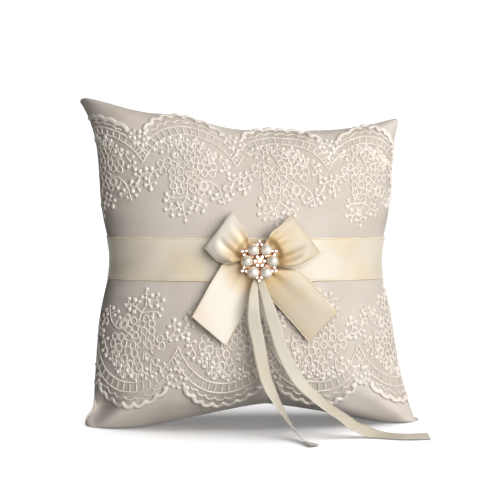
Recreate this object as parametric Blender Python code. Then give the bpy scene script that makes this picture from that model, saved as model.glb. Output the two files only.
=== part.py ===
"""Ring bearer pillow: a knife-edge cushion with two lace edgings, a satin band, a bow, a pearl brooch and two
ring ties. It stands on its two lower corners. The front faces -Y and +Z is up. All sizes are in metres."""

import math

import bmesh
import bpy
from mathutils import Matrix, Vector

OBJECT_NAME = "ring_bearer_pillow"

# Driving dimensions of the cushion. It leans back a little, and heights are measured up its own mid-plane.
LEAN = math.radians(4.0)
BAND_HEIGHT = 0.103
SEAM_ABOVE_BAND = 0.078
SEAM_BELOW_BAND = 0.091
SIDE_HALF = 0.0905
WAIST_PINCH = 0.0065
LOWER_FLARE = 0.0070
THICKNESS = 0.076
FULLNESS = 0.48
FLATNESS = 2.3
BAND_SQUEEZE = 0.05
LOWER_SAG = 0.08

# The corners stand out as ears. The lower two are pressed flat by the table.
EAR_SIDEWAYS = 0.007
EAR_TOP_LEFT = 0.016
EAR_TOP_RIGHT = 0.006
EAR_BOTTOM = 0.034

# Cloth thicknesses and the clearances between neighbouring layers.
SEAM_GAP = 0.0004
COVER_THICK = 0.0008
FILLING_GAP = 0.0016
FILLED_EARS = 0.2
LACE_LIFT = 0.0004
LACE_THICK = 0.0006
BAND_LIFT = 0.0014
RIBBON_THICK = 0.0006

# Ribbon and bow.
RIBBON_HALF = 0.0125
TAIL_LIFT = 0.0032
LOOP_LIFT = 0.0044
BOW_START = 0.0070
KNOT_RADIUS = 0.0060
KNOT_HALF_DEPTH = 0.0022
TIE_WIDTH = 0.0090
TIE_THICK = 0.0005

# Brooch.
PEARL_RADIUS = 0.00335
PEARL_RING = 0.0077
PEARL_COUNT = 6
STONE_RADIUS = 0.00125
ROSETTE_RING = 0.0030
OUTER_STONE_RING = 0.0101
PLATE_RADIUS = 0.0104
PLATE_THICK = 0.0010
PLATE_OUT = 0.0100
SHANK_RADIUS = 0.0022
SMALL_GAP = 0.0003

# Samples along the cover. They lie closer together towards the seams, where it curves most.
HALF_COLUMNS = 9
OUTER_ROWS = 8
BAND_ROWS = 2

IVORY = (0.84, 0.79, 0.72)
PLAIN_IVORY = (0.80, 0.74, 0.66)
LACE_WHITE = (0.88, 0.84, 0.78)
SATIN_CREAM = (0.87, 0.79, 0.63)
TIE_CREAM = (0.78, 0.74, 0.62)
FIBRE_WHITE = (0.90, 0.90, 0.88)
PEARL_WHITE = (0.92, 0.89, 0.83)
ROSE_GOLD = (0.80, 0.55, 0.38)
CLEAR_STONE = (0.93, 0.95, 0.97)


def clear_scene():
    for item in list(bpy.data.objects):
        bpy.data.objects.remove(item, do_unlink=True)
    group = bpy.data.collections.new(OBJECT_NAME)
    bpy.context.scene.collection.children.link(group)
    return group


def add_material(piece, colour, roughness, metallic=0.0):
    material = bpy.data.materials.new(piece.name)
    material.use_nodes = True
    shader = material.node_tree.nodes["Principled BSDF"]
    shader.inputs["Base Color"].default_value = (*colour, 1.0)
    shader.inputs["Roughness"].default_value = roughness
    shader.inputs["Metallic"].default_value = metallic
    piece.data.materials.append(material)


def add_piece(group, name, shape, colour, roughness, metallic=0.0):
    """Turns a finished bmesh into one named node with its own material."""
    bmesh.ops.recalc_face_normals(shape, faces=shape.faces)
    mesh = bpy.data.meshes.new(name)
    shape.to_mesh(mesh)
    shape.free()
    piece = bpy.data.objects.new(name, mesh)
    group.objects.link(piece)
    add_material(piece, colour, roughness, metallic)
    return piece


def loft(front_rows, back_rows, joined=False):
    """A closed body between two matching grids of points, one row per section. joined closes each row on itself."""
    shape = bmesh.new()
    front = [[shape.verts.new(point) for point in row] for row in front_rows]
    back = [[shape.verts.new(point) for point in row] for row in back_rows]
    rows = len(front)
    columns = len(front[0])
    spans = columns if joined else columns - 1
    for grid in (front, back):
        for row in range(rows - 1):
            for left in range(spans):
                right = (left + 1) % columns
                shape.faces.new((grid[row][left], grid[row][right], grid[row + 1][right], grid[row + 1][left]))
    for row in (0, rows - 1):
        for left in range(spans):
            right = (left + 1) % columns
            shape.faces.new((front[row][left], front[row][right], back[row][right], back[row][left]))
    if not joined:
        for column in (0, columns - 1):
            for row in range(rows - 1):
                shape.faces.new((front[row][column], front[row + 1][column], back[row + 1][column], back[row][column]))
    return shape


def eased_steps(count):
    """count + 1 values from 0 to 1 that crowd together towards 1."""
    return [math.sin(math.pi / 2 * step / count) for step in range(count + 1)]


def column_values():
    right = eased_steps(HALF_COLUMNS)
    return [-value for value in reversed(right[1:])] + right


def band_edge_values():
    """The height values, v, of the satin band's upper and lower edges."""
    return RIBBON_HALF / SEAM_ABOVE_BAND, -RIBBON_HALF / SEAM_BELOW_BAND


def row_values():
    upper_edge, lower_edge = band_edge_values()
    upper = [upper_edge + (1 - upper_edge) * step for step in eased_steps(OUTER_ROWS)]
    lower = [lower_edge + (-1 - lower_edge) * step for step in eased_steps(OUTER_ROWS)]
    inside = [lower_edge + (upper_edge - lower_edge) * step / BAND_ROWS for step in range(1, BAND_ROWS)]
    return list(reversed(lower)) + inside + upper


def half_width(v, ears=1.0):
    """Half the seam-to-seam width at height value v, which is -1 at the bottom seam, 0 at the band and 1 at the top."""
    flare = LOWER_FLARE * max(-v, 0.0) ** 2
    pinch = WAIST_PINCH * math.exp(-((v / 0.28) ** 2))
    ear = ears * EAR_SIDEWAYS * abs(v) ** 8
    return SIDE_HALF + flare - pinch + ear


def corner_pull(u, v, ears=1.0):
    """How far the ears draw a point of the cover up or down."""
    reach = ears * abs(u) ** 3 * abs(v) ** 3
    if v < 0:
        return -EAR_BOTTOM * reach
    return (EAR_TOP_LEFT if u < 0 else EAR_TOP_RIGHT) * reach


def leaned(x, depth, height):
    """A point of the upright cushion, after it leans back about the line where it meets the table."""
    y = depth * math.cos(LEAN) + height * math.sin(LEAN)
    z = -depth * math.sin(LEAN) + height * math.cos(LEAN)
    return Vector((x, y, z))


def cover_point(u, v, side, grow, ears=1.0):
    """A point of the cover's outside (grow 0) or of a layer outside or inside it. side is -1 in front and 1 behind."""
    rise = SEAM_ABOVE_BAND if v > 0 else SEAM_BELOW_BAND
    x = u * (half_width(v, ears) + grow)
    height = BAND_HEIGHT + v * (rise + grow) + corner_pull(u, v, ears)
    plump = ((1 - abs(u) ** FLATNESS) * (1 - abs(v) ** FLATNESS)) ** FULLNESS
    squeeze = 1 - BAND_SQUEEZE * math.exp(-((v / 0.2) ** 2))
    depth = (THICKNESS / 2 * squeeze * (1 - LOWER_SAG * v) + grow) * plump + SEAM_GAP / 2
    on_table = (side * depth * math.sin(LEAN) - grow) / math.cos(LEAN)
    return leaned(x, side * depth, max(height, on_table))


def cover_rows(rows, columns, side, grow, ears=1.0):
    return [[cover_point(u, v, side, grow, ears) for u in columns] for v in rows]


def cover_panel(group, name, side, colour):
    rows = row_values()
    columns = column_values()
    outside = cover_rows(rows, columns, side, 0.0)
    inside = cover_rows(rows, columns, side, -COVER_THICK)
    return add_piece(group, name, loft(outside, inside), colour, 0.6)


def filling(group):
    """The stuffing, which stops short of the ears."""
    rows = row_values()
    columns = column_values()
    shrink = -(COVER_THICK + FILLING_GAP)
    front = cover_rows(rows, columns, -1, shrink, ears=FILLED_EARS)
    back = cover_rows(rows, columns, 1, shrink, ears=FILLED_EARS)
    return add_piece(group, "fibre_filling", loft(front, back), FIBRE_WHITE, 0.9)


def lace_edging(group, name, upwards):
    """One lace edging on the front, from under the satin band almost to the seam."""
    reach = 0.99 if upwards else 0.93
    rows = [v for v in row_values() if (0 < v < reach if upwards else -reach < v < 0)]
    columns = column_values()[1:-1]
    outside = cover_rows(rows, columns, -1, LACE_LIFT + LACE_THICK)
    inside = cover_rows(rows, columns, -1, LACE_LIFT)
    return add_piece(group, name, loft(outside, inside), LACE_WHITE, 0.8)


def satin_band(group):
    upper_edge, lower_edge = band_edge_values()
    rows = [v for v in row_values() if lower_edge <= v <= upper_edge]
    columns = column_values()
    layers = []
    for grow in (BAND_LIFT + RIBBON_THICK, BAND_LIFT):
        grid = []
        for v in rows:
            front = [cover_point(u, v, -1, grow) for u in columns]
            back = [cover_point(u, v, 1, grow) for u in reversed(columns)]
            grid.append(front + back)
        layers.append(grid)
    return add_piece(group, "satin_band", loft(layers[0], layers[1], joined=True), SATIN_CREAM, 0.3)


def on_front(x, up, out):
    """A point in front of the cover: x across, up from the band's middle, out from the cover."""
    v = up / (SEAM_ABOVE_BAND if up > 0 else SEAM_BELOW_BAND)
    base = cover_point(x / half_width(v), v, -1, 0.0)
    return base + out * Vector((0.0, -math.cos(LEAN), math.sin(LEAN)))


def ribbon_grid(direction, path, widths, across=3):
    """Rows of points for a ribbon that leaves the knot at an angle. path holds (distance, out) pairs."""
    along = Vector((math.cos(direction), math.sin(direction)))
    sideways = Vector((-math.sin(direction), math.cos(direction)))
    grid = []
    for (distance, out), half in zip(path, widths):
        row = []
        for step in range(across + 1):
            offset = half * (2 * step / across - 1)
            flat = along * distance + sideways * offset
            row.append(on_front(flat.x, flat.y, out))
        grid.append(row)
    return grid


def offset_path(path, thick):
    """The path of (distance, out) pairs moved sideways by thick, for the ribbon's other face."""
    moved = []
    for index, (distance, out) in enumerate(path):
        before = path[max(index - 1, 0)]
        after = path[min(index + 1, len(path) - 1)]
        step = Vector((after[0] - before[0], after[1] - before[1])).normalized()
        moved.append((distance - step.y * thick, out + step.x * thick))
    return moved


def bow_ribbon(group, name, angle, path, widths):
    direction = math.radians(angle)
    inner = ribbon_grid(direction, path, widths)
    outer = ribbon_grid(direction, offset_path(path, RIBBON_THICK), widths)
    return add_piece(group, name, loft(inner, outer), SATIN_CREAM, 0.3)


def loop_path(length):
    """Out from the knot along the cushion, round the end of the loop, and back in front."""
    end_radius = 0.0042
    start = BOW_START + SMALL_GAP
    path = [(start, LOOP_LIFT), (start + 0.35 * length, LOOP_LIFT + 0.0002), (length, LOOP_LIFT + 0.0006)]
    turn_centre = (length, LOOP_LIFT + 0.0006 + end_radius)
    for step in range(1, 6):
        angle = -math.pi / 2 + math.pi * step / 5
        path.append(
            (turn_centre[0] + end_radius * math.cos(angle), turn_centre[1] + end_radius * math.sin(angle))
        )
    path.append((start + 0.40 * length, LOOP_LIFT + 0.0046))
    path.append((start, LOOP_LIFT + 0.0020))
    return path


def bow(group):
    for name, angle, length in (("bow_loop_left", 141.0, 0.0235), ("bow_loop_right", 30.0, 0.0255)):
        path = loop_path(length)
        widths = [0.0050, 0.0100] + [RIBBON_HALF] * (len(path) - 4) + [0.0100, 0.0050]
        bow_ribbon(group, name, angle, path, widths)
    for name, angle, length in (("bow_tail_left", 237.0, 0.050), ("bow_tail_right", -44.0, 0.056)):
        shares = (0.0, 0.12, 0.30, 0.50, 0.75, 1.0)
        path = [(BOW_START + share * (length - BOW_START), TAIL_LIFT) for share in shares]
        widths = [0.0042, 0.0064, 0.0095] + [RIBBON_HALF] * 3
        bow_ribbon(group, name, angle, path, widths)


def brooch_frame():
    """Places a part whose own +Z points out of the front, with its origin on the cover under the brooch."""
    return Matrix.Translation(on_front(0.0, 0.0, 0.0)) @ Matrix.Rotation(math.pi / 2 - LEAN, 4, "X")


def at_front(x, up, out):
    return brooch_frame() @ Matrix.Translation((x, up, out))


def turned(profile, steps):
    """A solid turned about its own Z from (radius, height) pairs. The first and last pairs lie on the axis."""
    shape = bmesh.new()
    bottom = shape.verts.new((0, 0, profile[0][1]))
    top = shape.verts.new((0, 0, profile[-1][1]))
    rings = []
    for radius, height in profile[1:-1]:
        angles = [2 * math.pi * step / steps for step in range(steps)]
        rings.append([shape.verts.new((radius * math.cos(a), radius * math.sin(a), height)) for a in angles])
    for step in range(steps):
        after = (step + 1) % steps
        shape.faces.new((bottom, rings[0][after], rings[0][step]))
        shape.faces.new((top, rings[-1][step], rings[-1][after]))
        for low, high in zip(rings, rings[1:]):
            shape.faces.new((low[step], low[after], high[after], high[step]))
    return shape


def add_turned(group, name, profile, steps, place, colour, roughness, metallic=0.0):
    piece = add_piece(group, name, turned(profile, steps), colour, roughness, metallic)
    piece.matrix_world = place
    return piece


def knot(group):
    profile = [
        (KNOT_RADIUS * math.sin(math.pi * step / 6), -KNOT_HALF_DEPTH * math.cos(math.pi * step / 6))
        for step in range(7)
    ]
    place = at_front(0.0, 0.0, BAND_LIFT + RIBBON_THICK + KNOT_HALF_DEPTH + SMALL_GAP)
    return add_turned(group, "bow_knot", profile, 16, place, SATIN_CREAM, 0.3)


def ball_profile(radius, rings):
    steps = [math.pi * step / rings for step in range(rings + 1)]
    return [(radius * math.sin(angle), -radius * math.cos(angle)) for angle in steps]


def stone_profile(radius):
    """A faceted stone: pointed below, flat on top."""
    return [(0, -0.9 * radius), (radius, 0), (0.95 * radius, 0.15 * radius), (0.55 * radius, 0.5 * radius)] + [
        (0, 0.5 * radius)
    ]


def brooch_plate(group):
    profile = [(0, 0), (PLATE_RADIUS, 0), (PLATE_RADIUS, PLATE_THICK), (0, PLATE_THICK)]
    return add_turned(group, "brooch_plate", profile, 24, at_front(0, 0, PLATE_OUT), ROSE_GOLD, 0.25, 1.0)


def brooch_shank(group):
    length = PLATE_OUT - 2 * SMALL_GAP - BAND_LIFT - RIBBON_THICK - 2 * KNOT_HALF_DEPTH - SMALL_GAP
    profile = [(0, 0), (SHANK_RADIUS, 0), (SHANK_RADIUS, length), (0, length)]
    place = at_front(0, 0, PLATE_OUT - SMALL_GAP - length)
    return add_turned(group, "brooch_shank", profile, 12, place, ROSE_GOLD, 0.3, 1.0)


def brooch_cup(group):
    """The dished cup that lifts the rosette of stones above the plate."""
    rim = ROSETTE_RING + STONE_RADIUS
    height = 0.0016
    profile = [(0, 0), (0.0024, 0), (rim, 0.7 * height), (rim, height), (0, height)]
    place = at_front(0, 0, PLATE_OUT + PLATE_THICK + SMALL_GAP)
    return add_turned(group, "brooch_cup", profile, 18, place, ROSE_GOLD, 0.25, 1.0)


def pearls(group):
    out = PLATE_OUT + PLATE_THICK + SMALL_GAP + PEARL_RADIUS
    for number in range(PEARL_COUNT):
        angle = 2 * math.pi * number / PEARL_COUNT
        place = at_front(PEARL_RING * math.cos(angle), PEARL_RING * math.sin(angle), out)
        add_turned(group, f"pearl_{number + 1}", ball_profile(PEARL_RADIUS, 7), 12, place, PEARL_WHITE, 0.2)


def rosette(group):
    out = PLATE_OUT + PLATE_THICK + SMALL_GAP + 0.0016 + SMALL_GAP + 0.9 * STONE_RADIUS
    places = [(0.0, 0.0)]
    for number in range(6):
        angle = 2 * math.pi * number / 6
        places.append((ROSETTE_RING * math.cos(angle), ROSETTE_RING * math.sin(angle)))
    for number, (x, up) in enumerate(places):
        place = at_front(x, up, out)
        add_turned(group, f"rosette_stone_{number + 1}", stone_profile(STONE_RADIUS), 8, place, CLEAR_STONE, 0.05)


def outer_stones(group):
    out = PLATE_OUT + PLATE_THICK + SMALL_GAP + 0.9 * STONE_RADIUS
    for number in range(PEARL_COUNT):
        angle = 2 * math.pi * (number + 0.5) / PEARL_COUNT
        place = at_front(OUTER_STONE_RING * math.cos(angle), OUTER_STONE_RING * math.sin(angle), out)
        add_turned(group, f"outer_stone_{number + 1}", stone_profile(STONE_RADIUS), 8, place, CLEAR_STONE, 0.05)


def tie_grids(line):
    """The two faces of a flat ribbon along a line. It faces forwards where it hangs and upwards on the table."""
    faces = ([], [])
    for index, point in enumerate(line):
        tangent = (line[min(index + 1, len(line) - 1)] - line[max(index - 1, 0)]).normalized()
        hanging = min(1.0, max(0.0, abs(tangent.z)))
        facing = Vector((0, -hanging, 1 - hanging)).normalized()
        sideways = tangent.cross(facing).normalized()
        normal = sideways.cross(tangent).normalized()
        for face, shift in zip(faces, (0.5, -0.5)):
            centre = point + normal * TIE_THICK * shift
            face.append([centre + sideways * TIE_WIDTH * share for share in (-0.5, 0.0, 0.5)])
    return faces


def smooth_line(points, steps=4):
    """A smooth line through the points."""
    line = []
    for index in range(len(points) - 1):
        before = points[max(index - 1, 0)]
        start = points[index]
        end = points[index + 1]
        after = points[min(index + 2, len(points) - 1)]
        for step in range(steps):
            t = step / steps
            line.append(
                0.5
                * (
                    2 * start
                    + (end - before) * t
                    + (2 * before - 5 * start + 4 * end - after) * t * t
                    + (3 * start - before - 3 * end + after) * t**3
                )
            )
    return line + [points[-1]]


def ring_ties(group):
    """Each tie hangs from beside the knot in front of the cushion, and its end lies on the table."""
    floor = 0.0014
    left = ((-4, -43, 94), (-5, -46, 84), (-5, -48, 68), (-2, -47, 46), (4, -46, 26), (13, -50, 10), (23, -59, 1.2))
    left_end = ((31, -68, floor * 1000), (35, -72, floor * 1000))
    right = ((6, -45, 93), (8, -48, 80), (10, -49, 64), (14, -48, 44), (22, -48, 31), (36, -50, 16), (50, -54, 5))
    right_end = ((64, -60, floor * 1000), (80, -62, floor * 1000), (98, -57, floor * 1000), (104, -54, floor * 1000))
    for name, hanging, lying in (("ring_tie_left", left, left_end), ("ring_tie_right", right, right_end)):
        line = smooth_line([Vector(point) / 1000 for point in hanging + lying])
        for point in line:
            point.z = max(point.z, floor)
        front, back = tie_grids(line)
        add_piece(group, name, loft(front, back), TIE_CREAM, 0.35)


def centre_on_base(group):
    """Moves the whole object so that the origin is at the middle of its base, leaving out the loose ties."""
    corners = []
    for piece in group.objects:
        if not piece.name.startswith("ring_tie"):
            corners += [piece.matrix_world @ Vector(corner) for corner in piece.bound_box]
    shift = Matrix.Translation(
        (
            -(min(c.x for c in corners) + max(c.x for c in corners)) / 2,
            -(min(c.y for c in corners) + max(c.y for c in corners)) / 2,
            0.0,
        )
    )
    for piece in group.objects:
        piece.matrix_world = shift @ piece.matrix_world


def main():
    group = clear_scene()
    filling(group)
    cover_panel(group, "front_panel", -1, IVORY)
    cover_panel(group, "back_panel", 1, PLAIN_IVORY)
    lace_edging(group, "lace_top", True)
    lace_edging(group, "lace_bottom", False)
    satin_band(group)
    bow(group)
    knot(group)
    brooch_shank(group)
    brooch_plate(group)
    brooch_cup(group)
    pearls(group)
    rosette(group)
    outer_stones(group)
    ring_ties(group)
    bpy.context.view_layer.update()
    centre_on_base(group)


main()
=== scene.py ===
import math

import bpy
import numpy as np
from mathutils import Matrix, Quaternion, Vector


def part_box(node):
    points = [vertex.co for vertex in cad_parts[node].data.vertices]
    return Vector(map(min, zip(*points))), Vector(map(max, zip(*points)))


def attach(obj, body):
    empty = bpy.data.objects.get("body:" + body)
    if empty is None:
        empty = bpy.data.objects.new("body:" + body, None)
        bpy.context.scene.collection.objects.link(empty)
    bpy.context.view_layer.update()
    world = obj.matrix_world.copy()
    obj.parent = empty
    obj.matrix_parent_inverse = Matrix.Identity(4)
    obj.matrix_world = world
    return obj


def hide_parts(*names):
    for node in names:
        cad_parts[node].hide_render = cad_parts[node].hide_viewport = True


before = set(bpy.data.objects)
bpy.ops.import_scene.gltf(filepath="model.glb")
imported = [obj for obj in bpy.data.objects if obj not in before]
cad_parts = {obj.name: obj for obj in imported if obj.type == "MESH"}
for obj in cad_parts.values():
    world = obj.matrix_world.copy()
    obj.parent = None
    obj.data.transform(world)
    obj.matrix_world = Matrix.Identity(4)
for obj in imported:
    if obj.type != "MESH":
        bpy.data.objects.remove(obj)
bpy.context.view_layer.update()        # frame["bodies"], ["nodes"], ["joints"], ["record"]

MM = 0.001

# ---------- the cushion's shape, in millimetres

LEAN = math.radians(4.0)
BAND_HEIGHT = 103.0
RISE_ABOVE = 78.0
RISE_BELOW = 91.0
SIDE_HALF = 90.5
WAIST_PINCH = 6.5
LOWER_FLARE = 5.5
LOWER_FLARE_RIGHT = 10.5
EAR_SIDEWAYS_TOP_LEFT = 18.0
EAR_SIDEWAYS_TOP_RIGHT = 11.0
EAR_SIDEWAYS_RIGHT = 11.5
EAR_SIDEWAYS_LEFT = 6.5
TIP_ROUNDING = 0.065
EAR_TOP_LEFT_BACK = 25.0
EAR_TOP_LEFT = 24.0
EAR_TOP_RIGHT = 13.5
EAR_BOTTOM = 22.0
TOP_SWELL = 4.0
ARCH_OFF_CENTRE = 0.10
HALF_THICK = 38.0
FULLNESS = 0.48
FLATNESS = 2.3
FLATNESS_BELOW = 4.0
BAND_SQUEEZE = 0.05
LOWER_SAG = 0.08
SEAM_HALF_GAP = 0.15
RIBBON_HALF = 12.5
PLATE_MIDDLE_OUT = 10.5
FORWARDS = np.array([0.0, -math.cos(LEAN), math.sin(LEAN)])


def lean_back(x, depth, height):
    """Points of the upright cushion, leaned back."""
    y = depth * math.cos(LEAN) + height * math.sin(LEAN)
    z = -depth * math.sin(LEAN) + height * math.cos(LEAN)
    return np.stack([x + 0 * y, y, z], axis=-1)


def half_width(u, v):
    flare = LOWER_FLARE * np.maximum(-v, 0) ** 2
    flare += np.where(u > 0, LOWER_FLARE_RIGHT * np.maximum(-v, 0) ** 3, 0)
    pinch = WAIST_PINCH * np.exp(-((v / 0.28) ** 2))
    low_tip = EAR_SIDEWAYS_LEFT / (1 + np.exp((v + 0.885) / 0.013))
    left_ear = np.where(v > 0, EAR_SIDEWAYS_TOP_LEFT * np.abs(v) ** 8, low_tip)
    right_ear = np.where(v > 0, EAR_SIDEWAYS_TOP_RIGHT, EAR_SIDEWAYS_RIGHT) * np.abs(v) ** 8
    ear = np.where(u < 0, left_ear, right_ear)
    return (SIDE_HALF + flare - pinch + ear) * tip_inset(u, v)


def tip_inset(u, v):
    """Draws the very tips of the ears in, so that they end round."""
    return 1 - TIP_ROUNDING * np.abs(u * v) ** 16


def corner_pull(u, v):
    """How far the ears draw the cover up or down. The top left one is drawn up along most of its edge."""
    above = np.where(u < 0, EAR_TOP_LEFT * np.abs(u) ** 1.7, EAR_TOP_RIGHT * np.abs(u) ** 4)
    above = above + TOP_SWELL * np.exp(-(((u + 0.36) / 0.18) ** 2))
    from_arch = np.abs(u - ARCH_OFF_CENTRE * (1 - u**2))
    return np.where(v < 0, -EAR_BOTTOM * from_arch**1.2, above) * np.abs(v) ** 3


def soft_lumps(u, v, side):
    """Shallow hollows in the stuffing and small puckers along the seams, as depth."""
    lumps = 0.7 * np.sin(5.1 * u + 2.3 * v + side) * np.cos(3.7 * v - 1.9 * u + 0.6)
    lumps += 0.35 * np.sin(9.7 * u - 6.1 * v + 2.0 * side)
    by_side = np.exp(-(1 - np.abs(u)) / 0.09) * np.sin(34 * v + 3 * np.sin(5 * v))
    by_end = np.exp(-(1 - np.abs(v)) / 0.08) * np.sin(31 * u + 3 * np.sin(4 * u))
    inside = np.clip((1 - u**2) * (1 - v**2), 0, 1)
    fold = 9.0 * np.exp(-(((u + 0.94) / 0.07) ** 2) - ((v + 0.86) / 0.07) ** 2)
    pulls = np.sin(9 * np.arctan2(1 + v, 1 - np.abs(u)) + 4 * u) * np.exp(-(((1 + v) / 0.25) ** 2))
    return lumps * inside**0.5 + (0.8 * (by_side + by_end) + 0.9 * pulls) * np.clip(inside * 8, 0, 1) - fold


def cushion(u, v, side=-1, lumpy=1.0):
    """Points on the cover. u and v run from -1 to 1. v is 0 at the band. side is -1 in front, 1 behind."""
    u, v = np.broadcast_arrays(np.asarray(u, float), np.asarray(v, float))
    rise = v * np.where(v > 0, RISE_ABOVE, RISE_BELOW) + corner_pull(u, v)
    rise *= np.where(v > 0, tip_inset(u, v), 1.0)
    height = BAND_HEIGHT + rise
    across = 1 - np.abs(u) ** FLATNESS
    upwards = 1 - np.abs(v) ** np.where(v > 0, FLATNESS, FLATNESS_BELOW)
    plump = np.clip(across * upwards, 0, 1) ** FULLNESS
    squeeze = 1 - BAND_SQUEEZE * np.exp(-((v / 0.2) ** 2))
    depth = HALF_THICK * squeeze * (1 - LOWER_SAG * v) * plump + lumpy * soft_lumps(u, v, side)
    depth = side * (np.maximum(depth, 0) + SEAM_HALF_GAP)
    depth += np.where((u < 0) & (v > 0), EAR_TOP_LEFT_BACK * np.abs(u) ** 4.5 * np.abs(v) ** 3, 0)
    return lean_back(u * half_width(u, v), depth, np.maximum(height, depth * math.tan(LEAN)))


def unit(vectors):
    return vectors / np.maximum(np.linalg.norm(vectors, axis=-1, keepdims=True), 1e-9)


def outward(u, v, side=-1, step=0.004):
    """Outward normals of the cover."""
    u, v = np.broadcast_arrays(np.clip(u, -0.99, 0.99), np.clip(v, -0.99, 0.99))
    across = cushion(u + step, v, side) - cushion(u - step, v, side)
    up = cushion(u, v + step, side) - cushion(u, v - step, side)
    return unit(np.cross(across, up)) * -side


def front_uv(x, up):
    v = np.where(np.asarray(up) > 0, np.asarray(up) / RISE_ABOVE, np.asarray(up) / RISE_BELOW)
    return x / half_width(x / SIDE_HALF, v), v


def front_points(x, up, out, lumpy=1.0):
    """Points in front of the cover: x across, up from the band's middle, out from the cover."""
    u, v = front_uv(np.asarray(x, float), np.asarray(up, float))
    return cushion(u, v, lumpy=lumpy) + np.asarray(out, float)[..., None] * FORWARDS


def shift_to_frame():
    """How far the row frame's origin lies from this formula's, read from the CAD brooch plate."""
    low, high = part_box("brooch_plate")
    cad_middle = (np.array(low) + np.array(high)) / 2 / MM
    return cad_middle - front_points(0.0, 0.0, PLATE_MIDDLE_OUT, lumpy=0.0)


SHIFT = shift_to_frame()


# ---------- lengths along the cloth

ARC_STEPS = np.linspace(0, 1, 401)


def arc_length(points):
    return np.concatenate([[0], np.cumsum(np.linalg.norm(np.diff(points, axis=0), axis=1))])


ARC_ACROSS = arc_length(cushion(ARC_STEPS, 0.45, lumpy=0))


def cloth_uv(across, up):
    """(u, v) of a point across the cloth, in millimetres along it, and up it, in millimetres of height.

    Lines across the cloth stay level, and aren't drawn up or down with the ears."""
    u = np.sign(across) * np.interp(np.abs(across), ARC_ACROSS, ARC_STEPS)
    rise = np.where(up > 0, RISE_ABOVE, RISE_BELOW)
    v = up / rise
    for _ in range(12):
        v = np.clip((v + (up - corner_pull(u, v)) / rise) / 2, -1, 1)
    return u, v


def below_seam(across, up):
    """up, kept just below the top seam."""
    u, _ = cloth_uv(across, 0.0 * up)
    return np.minimum(up, RISE_ABOVE - 1.0 + corner_pull(u, np.ones_like(u)))


def cloth_points(across, up, lift):
    """Points on the front at a height above the cloth. What passes the top seam stands up from it."""
    on_cloth = below_seam(across, up)
    u, v = cloth_uv(across, on_cloth)
    straight_up = np.array([0.0, -0.15, 1.0])
    return cushion(u, v) + lift[..., None] * outward(u, v) + (up - on_cloth)[..., None] * straight_up


# ---------- meshes


def add_mesh(name, points, faces, smooth=True):
    mesh = bpy.data.meshes.new(name)
    places = (np.asarray(points).reshape(-1, 3) + SHIFT) * MM
    mesh.from_pydata(places.tolist(), [], [list(face) for face in faces])
    mesh.update()
    mesh.polygons.foreach_set("use_smooth", [smooth] * len(mesh.polygons))
    piece = bpy.data.objects.new(name, mesh)
    bpy.context.scene.collection.objects.link(piece)
    return piece


def grid_faces(rows, columns, start=0, wrap=False):
    faces = []
    for row in range(rows - 1):
        for left in range(columns if wrap else columns - 1):
            right = (left + 1) % columns
            low = start + row * columns
            faces.append((low + left, low + right, low + columns + right, low + columns + left))
    return faces


def add_grid(name, points, wrap=False):
    rows, columns = points.shape[:2]
    return add_mesh(name, points, grid_faces(rows, columns, wrap=wrap))


def thicken(piece, thickness, offset=-1.0):
    solid = piece.modifiers.new("cloth thickness", "SOLIDIFY")
    solid.thickness = thickness * MM
    solid.offset = offset


def dress(piece, material, body="cushion"):
    piece.data.materials.clear()
    piece.data.materials.append(material)
    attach(piece, body)


def smooth_line(points, steps=8):
    """A smooth line through control points, each a row of any number of values."""
    points = np.asarray(points, float)
    padded = np.concatenate([points[:1], points, points[-1:]])
    line = []
    for before, start, end, after in zip(padded, padded[1:], padded[2:], padded[3:]):
        t = np.linspace(0, 1, steps, endpoint=False)[:, None]
        line.append(
            0.5
            * (
                2 * start
                + (end - before) * t
                + (2 * before - 5 * start + 4 * end - after) * t**2
                + (3 * start - before - 3 * end + after) * t**3
            )
        )
    return np.concatenate(line + [points[-1:]])


class ThreadMesh:
    """Gathers many threads and knots of thread into one mesh."""

    def __init__(self):
        self.points = []
        self.faces = []

    def count(self):
        return sum(len(p) for p in self.points)

    def thread(self, line, normals, radius, flatness=0.75, sides=6):
        """A round thread along a line, a little flattened against the cloth."""
        closed = np.linalg.norm(line[0] - line[-1]) < 1e-6
        tangents = np.gradient(line, axis=0)
        if closed:
            tangents[0] = tangents[-1] = line[1] - line[-2]
        sideways = unit(np.cross(unit(tangents), normals))
        thin = np.full(len(line), float(radius))
        if not closed:
            thin[0] = thin[-1] = radius * 0.45
        start = self.count()
        for side in range(sides):
            angle = 2 * math.pi * side / sides
            flat = sideways * math.cos(angle) + normals * math.sin(angle) * flatness
            self.points.append(line + flat * thin[:, None])
        length = len(line)
        for side in range(sides):
            after = (side + 1) % sides
            for step in range(length - 1):
                a = start + side * length + step
                b = start + after * length + step
                self.faces.append((a, b, b + 1, a + 1))

    def dome(self, middle, normal, radius, height, turns=9, rings=3):
        """A padded dot of satin stitch."""
        side = unit(np.cross(normal, [0.3, 0.1, 1.0]))
        other = np.cross(normal, side)
        start = self.count()
        for ring in range(rings):
            rise = math.sin(math.pi / 2 * ring / rings)
            reach = math.cos(math.pi / 2 * ring / rings)
            angles = 2 * math.pi * np.arange(turns) / turns
            flat = np.cos(angles)[:, None] * side + np.sin(angles)[:, None] * other
            self.points.append(middle + flat * radius * reach + normal * height * rise)
        self.points.append((middle + normal * height)[None])
        self.faces += grid_faces(rings, turns, start, wrap=True)
        top = start + rings * turns
        last = top - turns
        self.faces += [(last + k, last + (k + 1) % turns, top) for k in range(turns)]

    def build(self, name):
        return add_mesh(name, np.concatenate(self.points), self.faces)


# ---------- materials


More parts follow.
